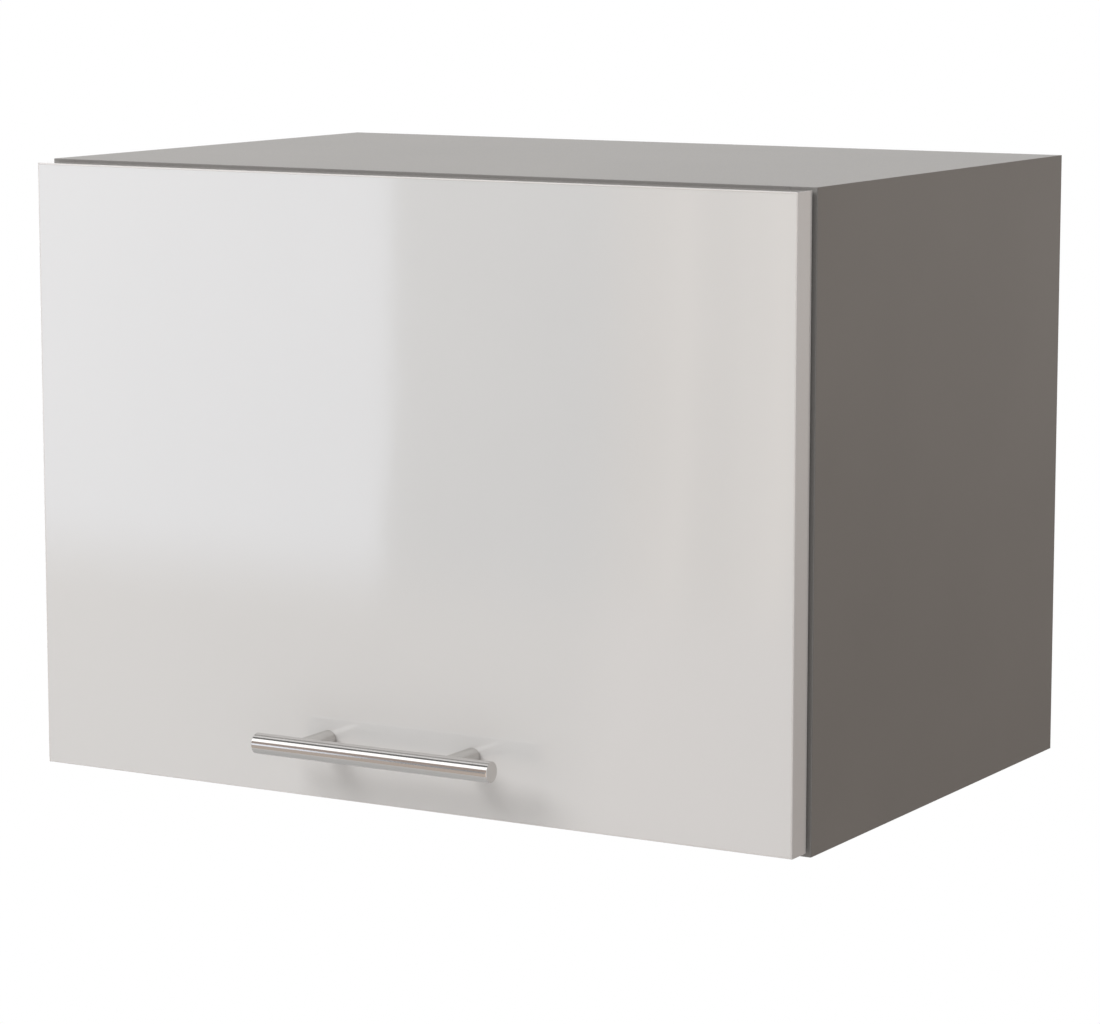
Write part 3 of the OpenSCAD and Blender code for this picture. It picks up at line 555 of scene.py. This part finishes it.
def handle_post(node):
    """A post whose front end is cut to the bar's round, with the screw's hole behind."""
    bar_low, bar_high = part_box("handle_bar")
    bar_y = (bar_low.y + bar_high.y) / 2
    bar_radius = (bar_high.z - bar_low.z) / 2 + POST_FIT
    low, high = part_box(node)
    middle = (low + high) / 2
    radius = (high.x - low.x) / 2

    def saddle(reach):
        return [(middle.x + x, bar_y + math.sqrt(bar_radius ** 2 - z ** 2), middle.z + z)
                for x, z in circle(reach)]

    def flat(y, reach):
        return [(middle.x + x, y, middle.z + z) for x, z in circle(reach)]

    rings = [[(middle.x, bar_y + bar_radius, middle.z)]]
    rings += [saddle(radius * share) for share in SADDLE_SHARES]
    rings += [flat(high.y - inset, radius - drop)
              for drop, inset in round_corner(POST_EDGE, POST_EDGE_STEPS)]
    rings += [flat(high.y, THREAD_RADIUS), flat(high.y - THREAD_DEPTH, THREAD_RADIUS)]
    rings.append([(middle.x, high.y - THREAD_DEPTH, middle.z)])
    add_piece(node + "_round", loft(rings, node), node)


# ---- covers ----

# A cover's rounded rim, the border that stays proud, and the depth of its sunk field. Rim,
# border and slope together stay below the radius of the cover's corners: 5 mm and 4 mm.
STAY_COVER = {"rim": 2.4 * MM, "border": 1.6 * MM, "depth": 0.5 * MM}
HANGER_COVER = {"rim": 1.0 * MM, "border": 2.0 * MM, "depth": 0.4 * MM}
COVER_SLOPE = 0.5 * MM
COVER_SOFTNESS = 0.15 * MM
RIM_SEGMENTS = 5
# An edge nearer than this to the cover's box is on its outline.
OUTLINE_REACH = 2 * MM
# A face whose normal lies this far along X is flat towards the middle of the cabinet.
FACE_ON = 0.999


def cover(node, rim, border, depth):
    """A moulded cover: its rim is well rounded, and its face has a field that is sunk
    between the border and the boss around any hole."""
    shape = cad_shape(frame["nodes"][node].data)
    low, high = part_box(node)

    def face():
        """The flat faces towards the middle of the cabinet."""
        return [flat for flat in shape.faces
                if flat.normal.x * math.copysign(1, flat.calc_center_median().x) < -FACE_ON]

    def on_outline(vertex):
        y, z = vertex.co.y, vertex.co.z
        return min(y - low.y, high.y - y, z - low.z, high.z - z) < OUTLINE_REACH

    flats = set(face())
    outline = [edge for edge in shape.edges
               if len(flats.intersection(edge.link_faces)) == 1
               and all(on_outline(vertex) for vertex in edge.verts)]
    round_edges(shape, outline, rim, RIM_SEGMENTS)
    field = face()
    bmesh.ops.inset_region(shape, faces=field, thickness=border, use_even_offset=True)
    bmesh.ops.inset_region(shape, faces=field, thickness=COVER_SLOPE, depth=-depth,
                           use_even_offset=True)
    soften(shape, COVER_SOFTNESS)
    add_piece(node + "_moulded", mesh_of(shape, node), node)


# ---- levers and links ----

GROOVE_RADIUS = 2.6 * MM
GROOVE_DEPTH = 0.6 * MM
GROOVE_MARGIN = 17 * MM
GROOVE_SOFTNESS = 0.2 * MM
GROOVE_END_STEPS = 12
CUTTER_PROUD = 1 * MM
BAR_SOFTNESS = 0.3 * MM


def groove_cutter(start, end, x0, x1):
    """A slot with round ends between two places, cut along X from x0 to x1."""
    along = Vector((end.y - start.y, end.z - start.z)).normalized()
    heading = math.atan2(along.y, along.x)
    first = Vector((start.y, start.z)) + along * GROOVE_MARGIN
    last = Vector((end.y, end.z)) - along * GROOVE_MARGIN
    outline = []
    for centre, begin in ((last, heading - math.pi / 2), (first, heading + math.pi / 2)):
        for i in range(GROOVE_END_STEPS + 1):
            turn = begin + math.pi * i / GROOVE_END_STEPS
            outline.append(centre + Vector((math.cos(turn), math.sin(turn))) * GROOVE_RADIUS)
    middle = (first + last) / 2
    rings = [[(x0, middle.x, middle.y)]]
    rings += [[(x, point.x, point.y) for point in outline] for x in (x0, x1)]
    rings.append([(x1, middle.x, middle.y)])
    return loft(rings, "groove")


def grooved_bar(node, start, end):
    """A lever or a link with a pressed groove in both faces."""
    low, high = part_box(node)
    cutters = [groove_cutter(start, end, low.x - CUTTER_PROUD, low.x + GROOVE_DEPTH),
               groove_cutter(start, end, high.x - GROOVE_DEPTH, high.x + CUTTER_PROUD)]
    shape = cad_shape(frame["nodes"][node].data)
    soften(shape, BAR_SOFTNESS)
    shape = cad_shape(cut(mesh_of(shape, node), cutters))
    soften(shape, GROOVE_SOFTNESS)
    add_piece(node + "_pressed", mesh_of(shape, node), node)


def make_fine_pieces():
    """The handle, levers, links and covers, whose shapes are finer than in the CAD."""
    places = {joint["name"]: Vector(joint["pos_m"]) for joint in frame["joints"]
              if "pos_m" in joint}
    pin_low, pin_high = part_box("door_bracket_pins")
    bracket_pin = (pin_low + pin_high) / 2
    handle_bar()
    for side in ("left", "right"):
        handle_post(f"handle_post_{side}")
        axle = places[f"lever_{side}_turn"]
        elbow = places[f"link_{side}_turn"]
        grooved_bar(f"stay_lever_{side}", axle, elbow)
        grooved_bar(f"stay_link_{side}", elbow, bracket_pin)
        cover(f"stay_cover_{side}", **STAY_COVER)
    cover("hanger_covers", **HANGER_COVER)


# ---- light and floor ----

AMBIENT = 0.36

# A lamp's place, size, power and colour.
LAMPS = {
    "key": ((-1.3, -1.95, 1.8), 1.4, 48, (1.0, 1.0, 1.0)),
    "front_left": ((-1.6, -2.4, -0.2), 1.8, 9, (1.0, 1.0, 1.0)),
    "front_right": ((1.6, -2.4, -0.2), 1.8, 6, (1.0, 1.0, 1.0)),
    "overhead": ((0.2, 0.1, 2.6), 1.8, 11, (1.0, 1.0, 1.0)),
    "side": ((2.4, -0.5, -0.3), 1.2, 2, (1.0, 0.8, 0.65)),
    "rear": ((-0.9, 2.7, 0.9), 1.6, 24, (1.0, 1.0, 1.0)),
}

FLOOR_Z = -2.0
FLOOR_RADIUS = 4.0
FLOOR_SEGMENTS = 96
FLOOR_GREY = (0.85, 0.85, 0.85)
# The shares of its radius between which the floor fades to white.
FLOOR_FADE = (0.4, 0.98)


def make_world():
    """Soft light all round; cameras, gloss and glass see it as plain white."""
    world = bpy.data.worlds.new("studio")
    world.use_nodes = True
    nodes, links = world.node_tree.nodes, world.node_tree.links
    ways = nodes.new("ShaderNodeLightPath")
    seen = ways.outputs["Is Camera Ray"]
    for way in ("Is Glossy Ray", "Is Transmission Ray"):
        either = nodes.new("ShaderNodeMath")
        either.operation = "MAXIMUM"
        links.new(seen, either.inputs[0])
        links.new(ways.outputs[way], either.inputs[1])
        seen = either.outputs[0]
    level = nodes.new("ShaderNodeMapRange")
    level.inputs["To Min"].default_value = AMBIENT
    level.inputs["To Max"].default_value = 1.0
    links.new(seen, level.inputs["Value"])
    background = nodes["Background"]
    background.inputs["Color"].default_value = (1, 1, 1, 1)
    links.new(level.outputs[0], background.inputs["Strength"])
    bpy.context.scene.world = world


def make_floor():
    """A pale round floor, two metres below the cabinet. It fades to white at its rim, and
    it can't be seen from below."""
    mesh = bpy.data.meshes.new("floor")
    shape = bmesh.new()
    bmesh.ops.create_circle(shape, cap_ends=True, segments=FLOOR_SEGMENTS, radius=FLOOR_RADIUS)
    shape.to_mesh(mesh)
    shape.free()
    floor = bpy.data.objects.new("floor", mesh)
    floor.location = (0, 0, FLOOR_Z)
    bpy.context.scene.collection.objects.link(floor)
    look = Finish("floor")
    look.surface(base_color=rgba(FLOOR_GREY), roughness=0.9)
    reach = look.node("ShaderNodeVectorMath", {0: look.place}, operation="LENGTH")
    fade = [FLOOR_RADIUS * share for share in FLOOR_FADE]
    rim = look.remap(reach.outputs["Value"], 0.0, 1.0, fade, smooth=True)
    white = look.node("ShaderNodeEmission").outputs[0]
    faded = look.node("ShaderNodeMixShader", {0: rim, 1: look.bsdf.outputs[0], 2: white})
    below = look.node("ShaderNodeNewGeometry").outputs["Backfacing"]
    clear = look.node("ShaderNodeBsdfTransparent").outputs[0]
    both = look.node("ShaderNodeMixShader", {0: below, 1: faded.outputs[0], 2: clear})
    look.show(both.outputs[0])
    mesh.materials.append(look.material)


def make_lamps():
    """Square soft lamps that face the middle of the cabinet. Gloss and metal mirror the
    screens instead."""
    middle = (CAD_BOX[0] + CAD_BOX[1]) / 2
    for name, (place, size, power, colour) in LAMPS.items():
        data = bpy.data.lights.new(name, "AREA")
        data.size = size
        data.energy = power
        data.color = colour
        lamp = bpy.data.objects.new(name, data)
        lamp.location = place
        lamp.rotation_euler = (lamp.location - middle).to_track_quat("Z", "Y").to_euler()
        lamp.visible_glossy = False
        bpy.context.scene.collection.objects.link(lamp)


# ---- screens that only gloss and metal see ----

# The reflector bends round the handle bar's axis. It reaches from left to right, and from
# below to above in degrees.
REFLECTOR_RADIUS = 2.8
REFLECTOR_SPAN = (-5.0, 3.0)
REFLECTOR_TURN = (-46, 80)
REFLECTOR_STEPS = 42

# Its field changes here along X: the bright pane ends, and further right the folds begin.
PANE_EDGE = (-1.82, -1.78)
FOLDS_EDGE = (-1.50, -1.38)
FOLDS_PER_METRE = (11.0, 0.1, 0.1)
FOLDS_RANGE = (0.4, 0.6)

# Each part begins between these angles, in degrees, above the part before it.
FIELD_RISE = (-11, -8)
SHADE_RISE = (4, 7)
STRIP_RISE = (29, 31)
RIM_RISE = (59, 61)

# The colours of its parts: under the field, in the field, and above it.
UNDER_GAP = (0.66, 0.58, 0.52)
UNDER_FOLDS = (0.95, 0.80, 0.72)
PANE = (1.50, 1.58, 1.75)
GAP = (0.34, 0.36, 0.38)
FOLD_DARK = (0.74, 0.60, 0.48)
FOLD_LIGHT = (1.30, 1.10, 0.92)
SHADE = (0.50, 0.42, 0.38)
STRIP_LIGHT = (2.0, 2.0, 2.0)
DARK_RIM = (0.2, 0.2, 0.2)

WALL_Y = 2.6
WALL_SPAN = (0.4, 3.4)
WALL_HEIGHTS = (-1.8, 1.6)
# The heights between which the wall grows bright above its dim part, and dim above the
# bright part below it.
WALL_UPPER_EDGE = (-0.75, 0.15)
WALL_LOWER_EDGE = (-1.2, -0.85)
WALL_DIM = (0.34, 0.29, 0.26)
WALL_BRIGHT = (0.8, 0.73, 0.68)


def gloss_screen(name, points, faces):
    """A screen with these points and faces. Returns its look."""
    mesh = bpy.data.meshes.new(name)
    mesh.from_pydata(points, [], faces)
    screen = bpy.data.objects.new(name, mesh)
    bpy.context.scene.collection.objects.link(screen)
    screen.visible_camera = False
    screen.visible_diffuse = False
    screen.visible_transmission = False
    screen.visible_shadow = False
    look = Finish(name)
    mesh.materials.append(look.material)
    return look


def glow(look, colour):
    """The look shines in this colour."""
    look.show(look.node("ShaderNodeEmission", {"Color": colour}).outputs[0])


def reflector_points(axis_y, axis_z):
    """Places on the reflector from below upwards, a left and a right one at each height."""
    lowest, highest = REFLECTOR_TURN
    for i in range(REFLECTOR_STEPS + 1):
        angle = math.radians(lowest + (highest - lowest) * i / REFLECTOR_STEPS)
        for x in REFLECTOR_SPAN:
            yield (x, axis_y - REFLECTOR_RADIUS * math.cos(angle),
                   axis_z + REFLECTOR_RADIUS * math.sin(angle))


def make_reflector():
    """A curved screen round the front. From below upwards: a warm part, a field with a
    bright pane on the left and soft folds on the right, a dim part, a strip light and a
    dark rim."""
    low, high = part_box("handle_bar")
    axis_y, axis_z = (low.y + high.y) / 2, (low.z + high.z) / 2
    faces = [(2 * i, 2 * i + 1, 2 * i + 3, 2 * i + 2) for i in range(REFLECTOR_STEPS)]
    look = gloss_screen("reflector", list(reflector_points(axis_y, axis_z)), faces)
    parts = look.node("ShaderNodeSeparateXYZ", {"Vector": look.place})
    out = look.combine("SUBTRACT", axis_y, parts.outputs["Y"])
    up = look.combine("SUBTRACT", parts.outputs["Z"], axis_z)
    turn = look.combine("ARCTAN2", up, out)

    def past(rise):
        """0 below the rise's first angle and 1 above its second."""
        return look.remap(turn, 0.0, 1.0, [math.radians(angle) for angle in rise], smooth=True)

    in_pane = look.remap(parts.outputs["X"], 1.0, 0.0, PANE_EDGE, smooth=True)
    in_folds = look.remap(parts.outputs["X"], 0.0, 1.0, FOLDS_EDGE, smooth=True)
    folds = look.remap(look.noise(FOLDS_PER_METRE, detail=1), 0.0, 1.0, FOLDS_RANGE)
    curtain = look.blend(folds, FOLD_DARK, FOLD_LIGHT)
    field = look.blend(in_pane, look.blend(in_folds, GAP, curtain), PANE)
    under = look.blend(in_folds, UNDER_GAP, UNDER_FOLDS)
    colour = look.blend(past(FIELD_RISE), under, field)
    colour = look.blend(past(SHADE_RISE), colour, SHADE)
    colour = look.blend(past(STRIP_RISE), colour, STRIP_LIGHT)
    glow(look, look.blend(past(RIM_RISE), colour, DARK_RIM))


def make_wall():
    """A warm card behind on the right: dim in a band below its middle, and brighter above
    and below that."""
    x0, x1 = WALL_SPAN
    z0, z1 = WALL_HEIGHTS
    corners = [(x0, WALL_Y, z0), (x1, WALL_Y, z0), (x1, WALL_Y, z1), (x0, WALL_Y, z1)]
    look = gloss_screen("wall", corners, [(0, 1, 2, 3)])
    height = look.node("ShaderNodeSeparateXYZ", {"Vector": look.place}).outputs["Z"]
    above = look.remap(height, 0.0, 1.0, WALL_UPPER_EDGE, smooth=True)
    below = look.remap(height, 1.0, 0.0, WALL_LOWER_EDGE, smooth=True)
    glow(look, look.blend(look.combine("MAXIMUM", above, below), WALL_DIM, WALL_BRIGHT))


def make_studio():
    """What stands round the cabinet: light, a floor and screens to be mirrored."""
    bpy.context.scene.view_settings.view_transform = "Standard"
    make_world()
    make_floor()
    make_lamps()
    make_reflector()
    make_wall()


make_camera()
finish_nodes(make_materials())
make_fine_pieces()
make_studio()
